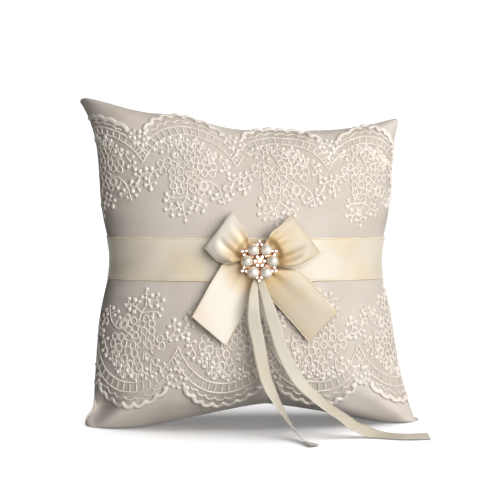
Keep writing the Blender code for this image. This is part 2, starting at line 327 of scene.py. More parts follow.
def new_material(name, colour, roughness, **settings):
    """A Principled material. settings name its sockets with underscores for spaces."""
    material = bpy.data.materials.new(name)
    material.use_nodes = True
    shader = material.node_tree.nodes["Principled BSDF"]
    shader.inputs["Base Color"].default_value = (*colour, 1.0)
    shader.inputs["Roughness"].default_value = roughness
    for socket, value in settings.items():
        shader.inputs[socket.replace("_", " ")].default_value = value
    return material


def add_node(material, kind, **values):
    node = material.node_tree.nodes.new(kind)
    for name, value in values.items():
        if name in node.inputs:
            node.inputs[name].default_value = value
        else:
            setattr(node, name, value)
    return node


def parts_of(material):
    """A material's links, its shader, and its object coordinates."""
    tree = material.node_tree
    place = add_node(material, "ShaderNodeTexCoord")
    return tree.links, tree.nodes["Principled BSDF"], place.outputs["Object"]


def mottle(material, low, high, scale):
    """Base colour that drifts gently between two colours."""
    links, shader, place = parts_of(material)
    noise = add_node(material, "ShaderNodeTexNoise", Scale=scale, Detail=2.0)
    ramp = add_node(material, "ShaderNodeValToRGB")
    ramp.color_ramp.elements[0].color = (*low, 1)
    ramp.color_ramp.elements[1].color = (*high, 1)
    ramp.color_ramp.elements[0].position = 0.35
    ramp.color_ramp.elements[1].position = 0.65
    links.new(place, noise.inputs["Vector"])
    links.new(noise.outputs["Fac"], ramp.inputs["Fac"])
    links.new(ramp.outputs["Color"], shader.inputs["Base Color"])


def add_bump(material, texture, strength, distance):
    """Makes a bump of a texture's light and dark."""
    links, shader, place = parts_of(material)
    bump = add_node(material, "ShaderNodeBump", Strength=strength, Distance=distance)
    links.new(place, texture.inputs["Vector"])
    links.new(texture.outputs["Fac"], bump.inputs["Height"])
    links.new(bump.outputs["Normal"], shader.inputs["Normal"])


def weave_bump(material, scale, strength):
    """Fine parallel threads, as a bump."""
    wave = add_node(material, "ShaderNodeTexWave", Scale=scale, Distortion=1.0, bands_direction="X")
    add_bump(material, wave, strength, 0.0002)


def grain_bump(material, scale, strength, distance):
    """Fine uneven grain, as a bump: the turns of a thread, nacre, or the skin of cast metal."""
    noise = add_node(material, "ShaderNodeTexNoise", Scale=scale, Detail=3.0)
    add_bump(material, noise, strength, distance)


def ground_cloth():
    material = new_material("ground cloth", (0.60, 0.54, 0.49), 0.62, Sheen_Weight=0.15, Sheen_Roughness=0.4)
    mottle(material, (0.55, 0.49, 0.43), (0.63, 0.58, 0.53), 26.0)
    weave_bump(material, 420.0, 0.2)
    return material


def back_cloth():
    material = new_material("back satin", (0.62, 0.56, 0.50), 0.42, Sheen_Weight=0.15)
    mottle(material, (0.58, 0.52, 0.46), (0.64, 0.585, 0.53), 14.0)
    weave_bump(material, 420.0, 0.12)
    return material


def net_cloth():
    """Fine net: partly see-through, with faint upright lines."""
    material = new_material("lace net", (0.68, 0.63, 0.57), 0.8)
    links, shader, place = parts_of(material)
    wave = add_node(material, "ShaderNodeTexWave", Scale=250.0, Distortion=2.0, bands_direction="X")
    wave.inputs["Detail"].default_value = 1.0
    level = add_node(material, "ShaderNodeMapRange")
    level.inputs["To Min"].default_value = 0.26
    level.inputs["To Max"].default_value = 0.32
    links.new(place, wave.inputs["Vector"])
    links.new(wave.outputs["Fac"], level.inputs["Value"])
    links.new(level.outputs["Result"], shader.inputs["Alpha"])
    return material


def lace_thread():
    material = new_material("lace thread", (0.76, 0.70, 0.64), 0.65, Sheen_Weight=0.15, Sheen_Roughness=0.5)
    mottle(material, (0.70, 0.64, 0.575), (0.79, 0.735, 0.675), 60.0)
    grain_bump(material, 1300.0, 0.55, 0.0004)
    return material


def selvedge_thread():
    material = new_material("selvedge", (0.78, 0.69, 0.52), 0.5)
    mottle(material, (0.74, 0.63, 0.44), (0.81, 0.73, 0.58), 90.0)
    grain_bump(material, 1500.0, 0.4, 0.0002)
    return material


def satin(name, colour, golden, near=0.013, far=0.028, **settings):
    """Satin with a soft sheen. Its colour is painted golden shade close to the knot and in broad faint crease
    patches.
    """
    material = new_material(
        name, colour, 0.36, Sheen_Weight=0.3, Sheen_Roughness=0.3, Anisotropic=0.4, **settings
    )
    links, shader, place = parts_of(material)
    # Painted shade: the base colour turns golden within a few centimetres of the knot, where the folds bunch
    # and shade, and in broad noise patches that stand in for crease shading.
    reach = add_node(material, "ShaderNodeVectorMath", operation="DISTANCE")
    reach.inputs[1].default_value = tuple((front_points(0.0, 0.0, 9.0) + SHIFT) * MM)
    gather_folds_and_painted_shade = add_node(material, "ShaderNodeMapRange", interpolation_type="SMOOTHSTEP")
    for socket, value in (("From Min", far), ("From Max", near), ("To Min", 0.0), ("To Max", 0.85)):
        gather_folds_and_painted_shade.inputs[socket].default_value = value
    noise = add_node(material, "ShaderNodeTexNoise", Scale=38.0, Detail=1.0)
    painted_crease_patches = add_node(material, "ShaderNodeMapRange", interpolation_type="SMOOTHSTEP")
    for socket, value in (("From Min", 0.42), ("From Max", 0.72), ("To Min", 0.0), ("To Max", 0.45)):
        painted_crease_patches.inputs[socket].default_value = value
    most = add_node(material, "ShaderNodeMath", operation="MAXIMUM")
    mix = add_node(material, "ShaderNodeMix", data_type="RGBA")
    mix.inputs[6].default_value = (*colour, 1)
    mix.inputs[7].default_value = (*golden, 1)
    links.new(place, reach.inputs[0])
    links.new(reach.outputs["Value"], gather_folds_and_painted_shade.inputs["Value"])
    links.new(place, noise.inputs["Vector"])
    links.new(noise.outputs["Fac"], painted_crease_patches.inputs["Value"])
    links.new(gather_folds_and_painted_shade.outputs["Result"], most.inputs[0])
    links.new(painted_crease_patches.outputs["Result"], most.inputs[1])
    links.new(most.outputs["Value"], mix.inputs[0])
    links.new(mix.outputs[2], shader.inputs["Base Color"])
    weave_bump(material, 900.0, 0.06)
    return material


def gold_metal():
    material = new_material("rose gold", (0.80, 0.52, 0.33), 0.22, Metallic=1.0)
    mottle(material, (0.74, 0.44, 0.26), (0.84, 0.58, 0.39), 240.0)
    grain_bump(material, 1800.0, 0.2, 0.0001)
    return material


def pearl_skin():
    material = new_material(
        "pearl", (0.68, 0.62, 0.52), 0.28, IOR=1.9, Coat_Weight=1.0, Coat_Roughness=0.2, Coat_IOR=1.9
    )
    mottle(material, (0.58, 0.51, 0.41), (0.72, 0.67, 0.58), 170.0)
    grain_bump(material, 700.0, 0.05, 0.0002)
    return material


def clear_stone():
    material = new_material("rhinestone", (0.86, 0.86, 0.88), 0.05, Metallic=0.92)
    mottle(material, (0.72, 0.72, 0.78), (0.95, 0.94, 0.92), 420.0)
    return material


# ---------- cushion cover and filling

COVER_COLUMNS = 131
COVER_ROWS = 141
SEAM_STEPS = 120
SEAM_THREAD = 0.45


def eased(count, power=0.75):
    """Values from -1 to 1 that crowd together towards both ends."""
    t = np.linspace(-1, 1, count)
    return np.sin(t * math.pi / 2) * power + t * (1 - power)


def build_cover(material_front, material_back):
    u, v = np.meshgrid(eased(COVER_COLUMNS), eased(COVER_ROWS))
    front = add_grid("cover_front", cushion(u, v, -1))
    back = add_grid("cover_back", cushion(u, v, 1)[:, ::-1])
    dress(front, material_front)
    dress(back, material_back)
    panels = ((front, "front_panel", "cover_cloth"), (back, "back_panel", "back_cloth"))
    for piece, node, slot in panels:
        thicken(piece, 0.6)
        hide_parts(node)
    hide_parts("fibre_filling")


def build_seam(material):
    """The narrow rolled edge where front and back are sewn together."""
    seam = ThreadMesh()
    edge = np.linspace(-1, 1, SEAM_STEPS, endpoint=False)
    ones = np.ones_like(edge)
    u = np.concatenate([edge, ones, -edge, -ones, [-1.0]])
    v = np.concatenate([ones, -edge, -ones, edge, [1.0]])
    line = (cushion(u, v, -1, 0.0) + cushion(u, v, 1, 0.0)) / 2
    line[:, 2] = np.maximum(line[:, 2], 0.5)
    middle = np.array([0.0, 0.0, BAND_HEIGHT])
    seam.thread(line, unit((line - middle) * [1, 0, 1]), SEAM_THREAD, flatness=1.0)
    piece = seam.build("seam_edge")
    dress(piece, material)


# ---------- lace

REPEAT = 60.0
ARCH_MIDDLE = (30.0, 46.7)
ARCH_INNER = 34.0
ARCH_OUTER = 38.7
ARCH_INNER_HALF_ANGLE = 61.9
ARCH_OUTER_HALF_ANGLE = 58.1
RUNGS = 17
RUNG_HALF_ANGLE = 56
LOBES = 7
LOBE_HALF_ANGLE = 41.0
BORDER_MIDDLE = (30.0, 38.7)
BORDER_RADIUS = 36.2
BORDER_LOBE = 2.0
WAVE_RADIUS = 32.8
WAVE_LOBE = 1.7
WAVE_HALF_ANGLE = 36.0
THREAD = 0.52
BORDER_THREAD = 1.5
DOT_RADIUS = 1.4
DOT_HEIGHT = 0.85
RING_RADIUS = 2.1
NOTCH_DEPTH = 14.5
V_DEPTH = 30.7
TOP_V = -10.4
TOP_SQUEEZE = 0.93
BOTTOM_V = 8.3
BOTTOM_SQUEEZE = 0.897
BOTTOM_V_DEPTH = 39.0
BOTTOM_STRETCH = 1.27
NET_COLUMNS = 260
NET_ROWS = 46
NET_LIFT = 0.25

# One motif of the lace in its own millimetres: x across from one V tip to the next, y from the scalloped edge
# towards the band. First the middles of the small linked rings, row by row.
RINGS = (
    (24.7, 20.3), (31.2, 21.2), (26.9, 23.4), (35.5, 24.0), (28.6, 26.8), (33.2, 27.9), (15.4, 28.8),
    (39.8, 29.0), (11.0, 30.9), (19.6, 31.2), (24.7, 30.9), (30.0, 30.9), (36.4, 31.8), (44.6, 31.2),
    (12.4, 35.1), (18.1, 35.3), (23.6, 35.0), (33.4, 35.2), (28.8, 36.4), (38.6, 35.2), (43.4, 35.5),
    (18.1, 39.6), (23.2, 39.4), (34.2, 39.9), (29.4, 40.9), (25.2, 43.4), (18.4, 43.9), (37.6, 43.0),
    (22.2, 46.6), (30.8, 45.3), (35.8, 46.6),
)
DOUBLE_RING = (37.6, 43.0)
# Stems, each a smooth curve through a few points.
STEMS = (
    ((27.5, 45.0), (26.6, 48.5), (26.4, 50.5), (23.5, 54.0), (19.0, 57.5), (15.5, 57.5)),
    ((26.5, 50.0), (23.0, 50.5), (19.0, 51.0), (15.8, 50.8)),
    ((26.6, 50.6), (29.5, 52.6), (33.0, 54.5), (36.5, 55.2)),
    ((23.5, 54.0), (24.0, 57.0), (24.5, 60.5)),
    ((36.5, 40.5), (41.0, 40.2), (45.5, 42.5), (48.8, 47.0), (50.8, 54.0)),
    ((50.5, 45.0), (52.5, 46.0), (54.0, 45.0)),
    ((11.0, 34.4), (7.5, 35.0), (4.6, 37.2), (3.0, 40.5), (3.5, 43.5)),
    ((4.6, 37.2), (1.0, 37.0), (-3.0, 39.0)),
    ((48.6, 27.2), (51.0, 30.0), (52.2, 32.5)),
    ((17.0, 24.6), (14.5, 21.5), (11.0, 21.0)),
    ((17.0, 24.6), (17.5, 21.0), (17.0, 18.0)),
)
# Padded berries that sit on the stems, and then those that hang on their own short stalks under the arch.
STEM_BERRIES = (
    (13.6, 48.6), (18.4, 47.8), (12.9, 52.6), (20.4, 54.0), (16.2, 54.6), (12.6, 58.2), (16.4, 61.2),
    (20.8, 60.8), (24.8, 64.2), (27.4, 59.4), (22.2, 57.6), (28.6, 56.6), (31.4, 50.6), (35.0, 51.8),
    (32.0, 57.6), (38.2, 54.4), (36.4, 58.2), (41.2, 46.6), (45.6, 48.0), (43.0, 50.4), (47.6, 52.2),
    (51.2, 42.4), (55.0, 43.4), (51.8, 48.2), (56.2, 47.4), (53.8, 50.6), (5.2, 34.0), (1.4, 34.4),
    (8.2, 38.4), (0.6, 40.2), (6.8, 42.6), (0.4, 44.0), (3.8, 46.4), (-2.6, 35.8), (-4.0, 41.8),
    (-6.0, 38.0), (53.4, 27.2), (50.0, 24.8), (54.2, 31.0), (49.4, 33.6), (54.2, 35.0), (13.6, 17.4),
    (10.6, 18.6), (8.4, 22.2), (12.8, 23.8), (16.0, 16.0), (19.8, 19.6),
)
HUNG_BERRIES = (
    (19.8, 15.0), (23.0, 16.6), (26.6, 14.2), (30.2, 16.0), (33.0, 18.4), (35.8, 15.2), (39.6, 17.6),
    (37.8, 20.6), (42.8, 21.0), (46.2, 23.4), (41.4, 24.8), (44.6, 26.8), (20.4, 24.4),
)
NOTCH_BERRIES = (
    (-7.2, 10.6), (-4.6, 12.4), (-1.6, 10.8), (1.8, 11.4), (4.8, 12.6), (7.0, 10.4), (-5.8, 15.0),
    (-3.0, 15.6), (0.4, 14.4), (3.2, 16.2), (6.0, 15.4), (-1.4, 18.6), (1.4, 19.8), (-3.6, 18.9),
    (3.9, 19.3), (0.0, 23.0),
)


def arch(radius, half_angle, steps=60, middle=ARCH_MIDDLE):
    """A line on the arch, as (x, y): x across the repeat, y from the scalloped edge towards the band."""
    angles = np.radians(np.linspace(-half_angle, half_angle, steps))
    radius = radius(angles) if callable(radius) else radius
    return np.stack([middle[0] + radius * np.sin(angles), middle[1] - radius * np.cos(angles)], axis=-1)


def lobed(base, height):
    """A radius that swells out in round lobes along the arch."""
    span = math.radians(LOBE_HALF_ANGLE)
    return lambda angle: base + height * np.abs(np.sin(math.pi * LOBES * (angle + span) / (2 * span))) ** 0.6


def rungs():
    """The short threads that cross the arch like the rungs of a ladder."""
    radii = [ARCH_INNER, (ARCH_INNER + ARCH_OUTER) / 2, ARCH_OUTER]
    for angle in np.radians(np.linspace(-RUNG_HALF_ANGLE, RUNG_HALF_ANGLE, RUNGS)):
        direction = np.array([math.sin(angle), -math.cos(angle)])
        yield np.array(ARCH_MIDDLE) + np.outer(radii, direction)


def ring(x, y, radius, steps=15):
    """A small ring of thread, a little out of round."""
    angles = np.linspace(0, 2 * math.pi, steps)
    radius = radius * (1 + 0.07 * np.cos(2 * angles + 1.7 * x + 0.9 * y))
    return np.stack([x + radius * np.cos(angles), y + radius * np.sin(angles)], axis=-1)


def stalk(berry, root):
    """A short bowed thread from a berry to its root."""
    bow = np.array([berry[1] - root[1], root[0] - berry[0]]) * 0.12
    return smooth_line([berry, (berry + root) / 2 + bow, root], 3)


def petals(berry, inwards):
    """Two short bowed threads that cup a hanging berry."""
    sideways = np.array([-inwards[1], inwards[0]])
    reaches = ((3.4, 0.0), (1.9, 1.5), (0.2, 2.0))
    return [smooth_line([berry + a * inwards + b * s * sideways for a, b in reaches], 4) for s in (-1, 1)]


def lace_repeat():
    """One repeat of the lace as (thin lines, padded lines, berries)."""
    thin = [arch(ARCH_INNER, ARCH_INNER_HALF_ANGLE), arch(ARCH_OUTER, ARCH_OUTER_HALF_ANGLE), *rungs()]
    thin.append(arch(lobed(WAVE_RADIUS, WAVE_LOBE), WAVE_HALF_ANGLE, 90, BORDER_MIDDLE))
    padded = [arch(lobed(BORDER_RADIUS, BORDER_LOBE), LOBE_HALF_ANGLE + 1, 110, BORDER_MIDDLE)]
    thin += [ring(x, y, RING_RADIUS) for x, y in RINGS]
    thin.append(ring(*DOUBLE_RING, RING_RADIUS * 1.45))
    stems = [smooth_line(points, 6) for points in STEMS]
    thin += stems
    along_stems = np.concatenate(stems)
    for berry in np.array(STEM_BERRIES):
        nearest = along_stems[np.argmin(np.linalg.norm(along_stems - berry, axis=1))]
        thin.append(stalk(berry, nearest))
    for berry in np.array(HUNG_BERRIES):
        inwards = unit(np.array(ARCH_MIDDLE) - berry)
        thin.append(stalk(berry, berry + 3.4 * inwards))
        thin += petals(berry, inwards)
    return thin, padded, [*STEM_BERRIES, *HUNG_BERRIES, *NOTCH_BERRIES]


def place_top(points):
    """From the lace's own (x, y) to the cloth's. The lace is sewn on with a slight slope.

    Its second arch stands proud of the seam, and its third one lies lowest."""
    across = points[..., 0] * TOP_SQUEEZE + TOP_V
    y = points[..., 1]
    shift = 8.8 - 2.5 * np.clip((across + 34) / 60, -1, 1)
    droop = np.interp(across, (-95, -38, -24, 18, 62, 84, 103), (2.5, -0.5, 0.5, 6.0, 1.0, 4.5, 12.0))
    return across, RISE_ABOVE + shift - y - droop * np.clip(1 - y / V_DEPTH, 0, 1) ** 1.3


def place_bottom(points):
    """The lower lace is the same lace turned round by half a turn, and drawn longer towards the floor."""
    across = BOTTOM_V - points[..., 0] * BOTTOM_SQUEEZE
    y = points[..., 1]
    longer = np.where(y < V_DEPTH, BOTTOM_STRETCH, 1.0)
    return across, -(RIBBON_HALF + BOTTOM_V_DEPTH) - (V_DEPTH - y) * longer


def runs_inside(across, up):
    """Stretches of a line that lie on the front, between the side seams."""
    inside = np.abs(across) < ARC_ACROSS[-1] - 0.8
    start = None
    for index, good in enumerate([*inside, False]):
        if good and start is None:
            start = index
        elif not good and start is not None:
            if index - start > 1:
                yield slice(start, index)
            start = None


def net_edge(x):
    """Where the net starts, measured from the scalloped edge, at each x."""
    inside = np.mod(x, REPEAT)
    angle = np.arcsin(np.clip((inside - BORDER_MIDDLE[0]) / BORDER_RADIUS, -1, 1))
    lobe = lobed(BORDER_RADIUS, BORDER_LOBE)(angle)
    edge = BORDER_MIDDLE[1] - np.sqrt(np.maximum(lobe**2 - (inside - BORDER_MIDDLE[0]) ** 2, 0))
    return np.where(np.abs(angle) < math.radians(LOBE_HALF_ANGLE), edge, NOTCH_DEPTH)


def build_net(name, place, reach, material):
    across = np.linspace(-1, 1, NET_COLUMNS) * (ARC_ACROSS[-1] - 0.6)
    (zero_at, one_at), _ = place(np.array([[0.0, 0.0], [1.0, 0.0]]))
    x = (across - zero_at) / (one_at - zero_at)
    edge = net_edge(x)
    depth = np.linspace(0, 1, NET_ROWS)[:, None]
    y = edge[None] + (reach - edge[None]) * depth
    _, up = place(np.stack([np.broadcast_to(x, y.shape), y], axis=-1))
    lift = np.full(up.shape, NET_LIFT)
    net = add_grid(name, cloth_points(np.broadcast_to(across, up.shape), up, lift))
    dress(net, material)
    return net


def build_lace(name, node, place, copies, reach, net_material, thread_material):
    net = build_net(name + "_net", place, reach, net_material)
    threads = ThreadMesh()
    thin, padded, berries = lace_repeat()
    for copy in copies:
        offset = np.array([copy * REPEAT, 0.0])
        for lines, radius, flatness, lift in ((thin, THREAD, 0.65, 0.4), (padded, BORDER_THREAD, 0.45, 0.5)):
            for line in lines:
                across, up = place(line + offset)
                for run in runs_inside(across, up):
                    u, v = cloth_uv(across[run], below_seam(across[run], up[run]))
                    points = cloth_points(across[run], up[run], np.full(len(u), lift))
                    threads.thread(points, outward(u, v), radius, flatness, 6 if radius < 1 else 8)
        for x, y in np.array(berries) + offset:
            across, up = place(np.array([[x, y]]))
            if abs(across[0]) > ARC_ACROSS[-1] - 1.5:
                continue
            u, v = cloth_uv(across, below_seam(across, up))
            size = 1 + 0.12 * math.sin(7 * x + 5 * y)
            middle = cloth_points(across, up, np.array([0.3]))[0]
            threads.dome(middle, outward(u, v)[0], DOT_RADIUS * size, DOT_HEIGHT * size)
    pattern = threads.build(name + "_threads")
    dress(pattern, thread_material)
    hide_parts(node)


# ---------- satin band


def band_section(u, up, side, lift):
    """Points of the band. It dents a little at its middle and creases softly."""
    v = np.where(up > 0, up / RISE_ABOVE, up / RISE_BELOW)
    crease = 0.35 * np.sin(7 * u + 0.10 * up) + 0.22 * np.sin(23 * u - 0.21 * up)
    edge_close = 0.5 * (np.abs(up) / RIBBON_HALF) ** 4
    return cushion(u, v, side) + (lift + crease * 0.6 - edge_close)[..., None] * outward(u, v, side)


def build_band(material, selvedge_material):
    u = eased(141, 0.85)
    up = np.linspace(-RIBBON_HALF, RIBBON_HALF, 25)
    grid_u, grid_up = np.meshgrid(u, up)
    lift = np.full(grid_u.shape, 1.3)
    front = band_section(grid_u, grid_up, -1, lift)
    back = band_section(grid_u[:, ::-1], grid_up, 1, lift)
    around = np.concatenate([front, back], axis=1)
    band = add_grid("band", around, wrap=True)
    thicken(band, 0.35)
    dress(band, material)
    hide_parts("satin_band")
    selvedges = ThreadMesh()
    for row in (0, -1):
        line = np.concatenate([around[row], around[row][:1]])
        middle = np.array([0.0, BAND_HEIGHT * math.sin(LEAN), 0.0])
        selvedges.thread(line, unit((line - middle) * [1, 1, 0]), 0.45, 1.0)
    edges = selvedges.build("band_selvedges")
    dress(edges, selvedge_material)


# ---------- bow


BROOCH_BACK = 7.8
BROOCH_REACH = 13.2


def under_brooch(x, up, out, spare=0.0):
    """out, kept behind the brooch wherever it turns over the ribbon, but for a little spare height."""
    return np.minimum(out, BROOCH_BACK + spare + 1.4 * np.maximum(np.hypot(x, up) - BROOCH_REACH, 0))


def ribbon_surface(one_edge, other_edge, bulge, steps=9, across=21):
    """A ribbon between two edge lines of (x, up, out). bulge(t, s) lifts it, t along and s across."""
    first = smooth_line(one_edge, steps)
    second = smooth_line(other_edge, steps)
    t = np.linspace(0, 1, len(first))[:, None]
    s = np.linspace(0, 1, across)[None, :]
    blend = first[:, None, :] * (1 - s[..., None]) + second[:, None, :] * s[..., None]
    x, up = blend[..., 0], blend[..., 1]
    out = under_brooch(x, up, blend[..., 2]) + bulge(t, s)
    return front_points(x, up, under_brooch(x, up, out, spare=1.3))


def build_ribbon(name, node, surface, flat_length, material, selvedge_material):
    piece = add_grid(name, surface)
    thicken(piece, 0.3, 0.0)
    dress(piece, material)
    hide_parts(node)
    selvedges = ThreadMesh()
    for column in (0, -1):
        line = surface[:, column]
        inwards = unit(surface[:, 1 if column == 0 else -2] - line)
        normals = unit(np.cross(inwards, unit(np.gradient(line, axis=0))))
        selvedges.thread(line, normals, 0.36, 1.0)
    edges = selvedges.build(name + "_selvedges")
    dress(edges, selvedge_material)


def ridge(s, height, middle, width):
    return height * np.exp(-(((s - middle) / width) ** 2))


def loop_bulge(front, crease, lip, belly):
    """How a loop's cloth lies. front is where its front half starts and how fast it forms, as shares of t.

    crease and lip are each a (height, middle, width) across it."""

    def bulge(t, s):
        formed = np.clip((t - front[0]) / front[1], 0, 1)
        gather_folds_and_painted_shade = 1.1 * np.cos(7 * math.pi * s) * np.clip((t - 0.6) / 0.35, 0, 1)
        swell = belly * np.sin(math.pi * s) * np.sin(math.pi * t)
        return formed * (ridge(s, *lip) - ridge(s, *crease)) + gather_folds_and_painted_shade + swell

    return bulge


def left_loop():
    upper = (
        (-3, 4, 3), (-7, 14, 3), (-12.5, 24, 3.5), (-15.6, 28.2, 5.0), (-15.0, 27.6, 7.0), (-10.5, 20.5, 9.5),
        (-6.2, 12.5, 11), (-3.5, 5, 9),
    )
    lower = (
        (-6, -3, 3), (-17, -1, 3), (-27, 4, 3.5), (-31.2, 7.4, 5.0), (-30.4, 6.4, 7.0), (-25, 0.6, 9.5),
        (-17, -1.6, 11), (-9, -0.5, 9),
    )

    bulge = loop_bulge(front=(0.60, 0.22), crease=(5.0, 0.62, 0.075), lip=(2.6, 0.84, 0.12), belly=1.2)
    return ribbon_surface(upper, lower, bulge)


def right_loop():
    upper = (
        (3, 4, 3), (10, 14, 3), (17, 23, 3.5), (20.8, 26.8, 5.0), (20.0, 26.0, 7.0), (13, 20.5, 9.5),
        (7, 15.8, 11), (3, 6, 9),
    )
    lower = (
        (6, -3, 3), (18, -3, 3), (32, 1, 3.5), (37.5, 4.4, 5.0), (36.6, 3.6, 7.0), (28, -1.6, 9.0),
        (19, -4.0, 10.5), (9, -2.4, 9),
    )

    bulge = loop_bulge(front=(0.62, 0.25), crease=(4.2, 0.74, 0.09), lip=(1.6, 0.93, 0.10), belly=1.0)
    return ribbon_surface(upper, lower, bulge)


def left_tail():
    outer = (
        (-4, 1, 4.5), (-11, 1.0, 6.5), (-19.5, -1.0, 7.0), (-27.5, -13, 6.5), (-33.5, -23.6, 6.0),
        (-39.2, -33.0, 6.4),
    )
    inner = (
        (-1, -4, 5.5), (-1.5, -9, 6.0), (-1.8, -15.5, 5.0), (-5.5, -25, 3.8), (-11.5, -37, 3.4),
        (-19.0, -50.0, 4.0),
    )

    def bulge(t, s):
        near_knot = (1 - t) ** 2
        folds = np.cos(3 * math.pi * s + 0.5) * 1.6 * near_knot + 1.5 * np.cos(7 * math.pi * s) * near_knot**2
        return folds + 0.9 * np.sin(math.pi * s) * t - 0.5 * np.cos(2 * math.pi * s) * np.sin(math.pi * t)

    return ribbon_surface(outer, inner, bulge)


def right_tail():
    inner = (
        (0, -5, 5.0), (-0.3, -9, 5.0), (1.5, -14.5, 4.6), (9, -23.5, 4.0), (20, -35.5, 3.8),
        (32.0, -48.4, 4.4),
    )
    outer = (
        (5, 0, 4.5), (12, -4.6, 7.0), (22.5, -5.2, 8.2), (31.5, -12.2, 7.8), (40.5, -22.4, 7.0),
        (49.0, -31.4, 6.8),
    )

    def bulge(t, s):
        near_knot = (1 - t) ** 2
        folds = np.cos(3 * math.pi * s) * 1.5 * near_knot + 1.5 * np.cos(7 * math.pi * s) * near_knot**2
        belly = 1.5 * np.sin(math.pi * s) * np.sin(math.pi * t)
        return folds + belly + 0.8 * np.sin(3 * math.pi * s) * t * (1 - t)

    return ribbon_surface(inner, outer, bulge)


def build_bow(bright, golden, selvedge_material):
    """The bow, one satin in two copies: its left loop and tail painted lit and pale, its knot and right side
    painted golden shade.
    """
    middle = ball("bow_middle", front_points(0.0, 0.0, 5.2), (6.0, 2.6, 6.0), 24, 12)
    dress(middle, golden)
    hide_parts("bow_knot")
    for name, node, surface, length, material in (
        ("bow_left_loop", "bow_loop_left", left_loop(), 64, bright),
        ("bow_right_loop", "bow_loop_right", right_loop(), 72, golden),
        ("bow_left_tail", "bow_tail_left", left_tail(), 52, bright),
        ("bow_right_tail", "bow_tail_right", right_tail(), 58, golden),
    ):
        build_ribbon(name, node, surface, length, material, selvedge_material)


# ---------- brooch


def ball(name, middle, radii, around=32, rings=16):
    """A squashed ball whose own up axis points out of the front."""
    sideways, upwards = front_axes()
    theta = np.linspace(0.0, math.pi, rings + 1)[:, None]
    phi = np.linspace(0, 2 * math.pi, around, endpoint=False)[None, :]
    points = (
        middle
        + (radii[0] * np.sin(theta) * np.cos(phi))[..., None] * sideways
        + (radii[2] * np.sin(theta) * np.sin(phi))[..., None] * upwards
        + (radii[1] * np.cos(theta) * np.ones_like(phi))[..., None] * FORWARDS
    )
    return add_grid(name, points, wrap=True)


def front_axes():
    sideways = np.array([1.0, 0.0, 0.0])
    return sideways, np.cross(FORWARDS, sideways)


def plate_point(x, up, out):
    """A point of the brooch, out from the cover at its middle."""
    sideways, upwards = front_axes()
    return front_points(0.0, 0.0, 0.0, lumpy=0.0) + x * sideways + up * upwards + out * FORWARDS


def turned_piece(name, x, up, out, profile, around, smooth=True):
    """A piece turned about an axis that points out of the front, from (radius, out) pairs."""
    sideways, upwards = front_axes()
    angles = 2 * math.pi * np.arange(around) / around
    flat = np.cos(angles)[:, None] * sideways + np.sin(angles)[:, None] * upwards
    rings = [plate_point(x, up, out + rise) + radius * flat for radius, rise in profile]
    faces = grid_faces(len(profile), around, wrap=True)
    last = (len(profile) - 1) * around
    faces += [tuple(range(around))[::-1], tuple(range(last, last + around))]
    return add_mesh(name, np.array(rings), faces, smooth)


STONE_PROFILE = ((0.02, -0.75), (1.0, 0.0), (0.92, 0.16), (0.52, 0.46))


def stone(name, x, up, out, radius, facets=8):
    profile = [(r * radius, rise * radius) for r, rise in STONE_PROFILE]
    return turned_piece(name, x, up, out, profile, facets, smooth=False)


def join(pieces, name):
    """Makes one mesh of several pieces."""
    points = []
    faces = []
    start = 0
    smooth = []
    for piece in pieces:
        mesh = piece.data
        points += [list(vertex.co) for vertex in mesh.vertices]
        faces += [[start + i for i in polygon.vertices] for polygon in mesh.polygons]
        smooth += [polygon.use_smooth for polygon in mesh.polygons]
        start += len(mesh.vertices)
        bpy.data.objects.remove(piece, do_unlink=True)
    mesh = bpy.data.meshes.new(name)
    mesh.from_pydata(points, [], faces)
    mesh.polygons.foreach_set("use_smooth", smooth)
    whole = bpy.data.objects.new(name, mesh)
    bpy.context.scene.collection.objects.link(whole)
    return whole


def bead_circle(name, x, up, out, radius, wire, around=40):
    """A thin wire ring."""
    sideways, upwards = front_axes()
    angles = np.linspace(0, 2 * math.pi, around + 1)
    flat = np.cos(angles)[:, None] * sideways + np.sin(angles)[:, None] * upwards
    line = plate_point(x, up, out) + radius * flat
    thread = ThreadMesh()
    thread.thread(line, np.broadcast_to(FORWARDS, line.shape).copy(), wire, 1.0, 8)
    return thread.build(name)


PLATE_OUT = 10.0
PLATE_PROFILE = ((0.3, 0.0), (10.0, 0.0), (10.4, 0.4), (10.2, 1.0), (0.3, 1.0))
STEM_DEPTH = 2.6
STEM_PROFILE = ((0.1, 0.0), (2.2, 0.0), (2.2, 2.4), (0.1, 2.4))
PEARL_CIRCLE = 7.7
PEARL_RADIUS = 3.35
PEARL_RISE = 4.5
WIRE_RISE = 3.3
WIRE_CIRCLE = 3.3
WIRE = 0.28
CUP_RISE = 1.3
CUP_PROFILE = ((0.1, 0.0), (2.4, 0.0), (4.2, 1.2), (4.2, 1.7), (0.1, 1.5))
ROSETTE_CIRCLE = 2.9
ROSETTE_RISE = 3.6
ROSETTE_GEM = 1.12
# The three gems between two pearls: how far out along their spoke, how far to its side, and their radius.
OUTER_GEMS = ((11.6, 0.0, 0.95), (9.7, 1.25, 0.9), (9.7, -1.25, 0.9))
OUTER_GEM_RISE = 2.3
SETTING_RISE = 1.2


def fit_to_brooch(piece, material, node=None):
    dress(piece, material, "brooch")
    if node:
        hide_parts(node)


def sixth_turn(number):
    return 2 * math.pi * number / 6


def build_plate(gold):
    plate = turned_piece("brooch_base", 0, 0, PLATE_OUT, PLATE_PROFILE, 48)
    fit_to_brooch(plate, gold, "brooch_plate")
    shank = turned_piece("brooch_stem", 0, 0, PLATE_OUT - STEM_DEPTH, STEM_PROFILE, 24)
    fit_to_brooch(shank, gold, "brooch_shank")


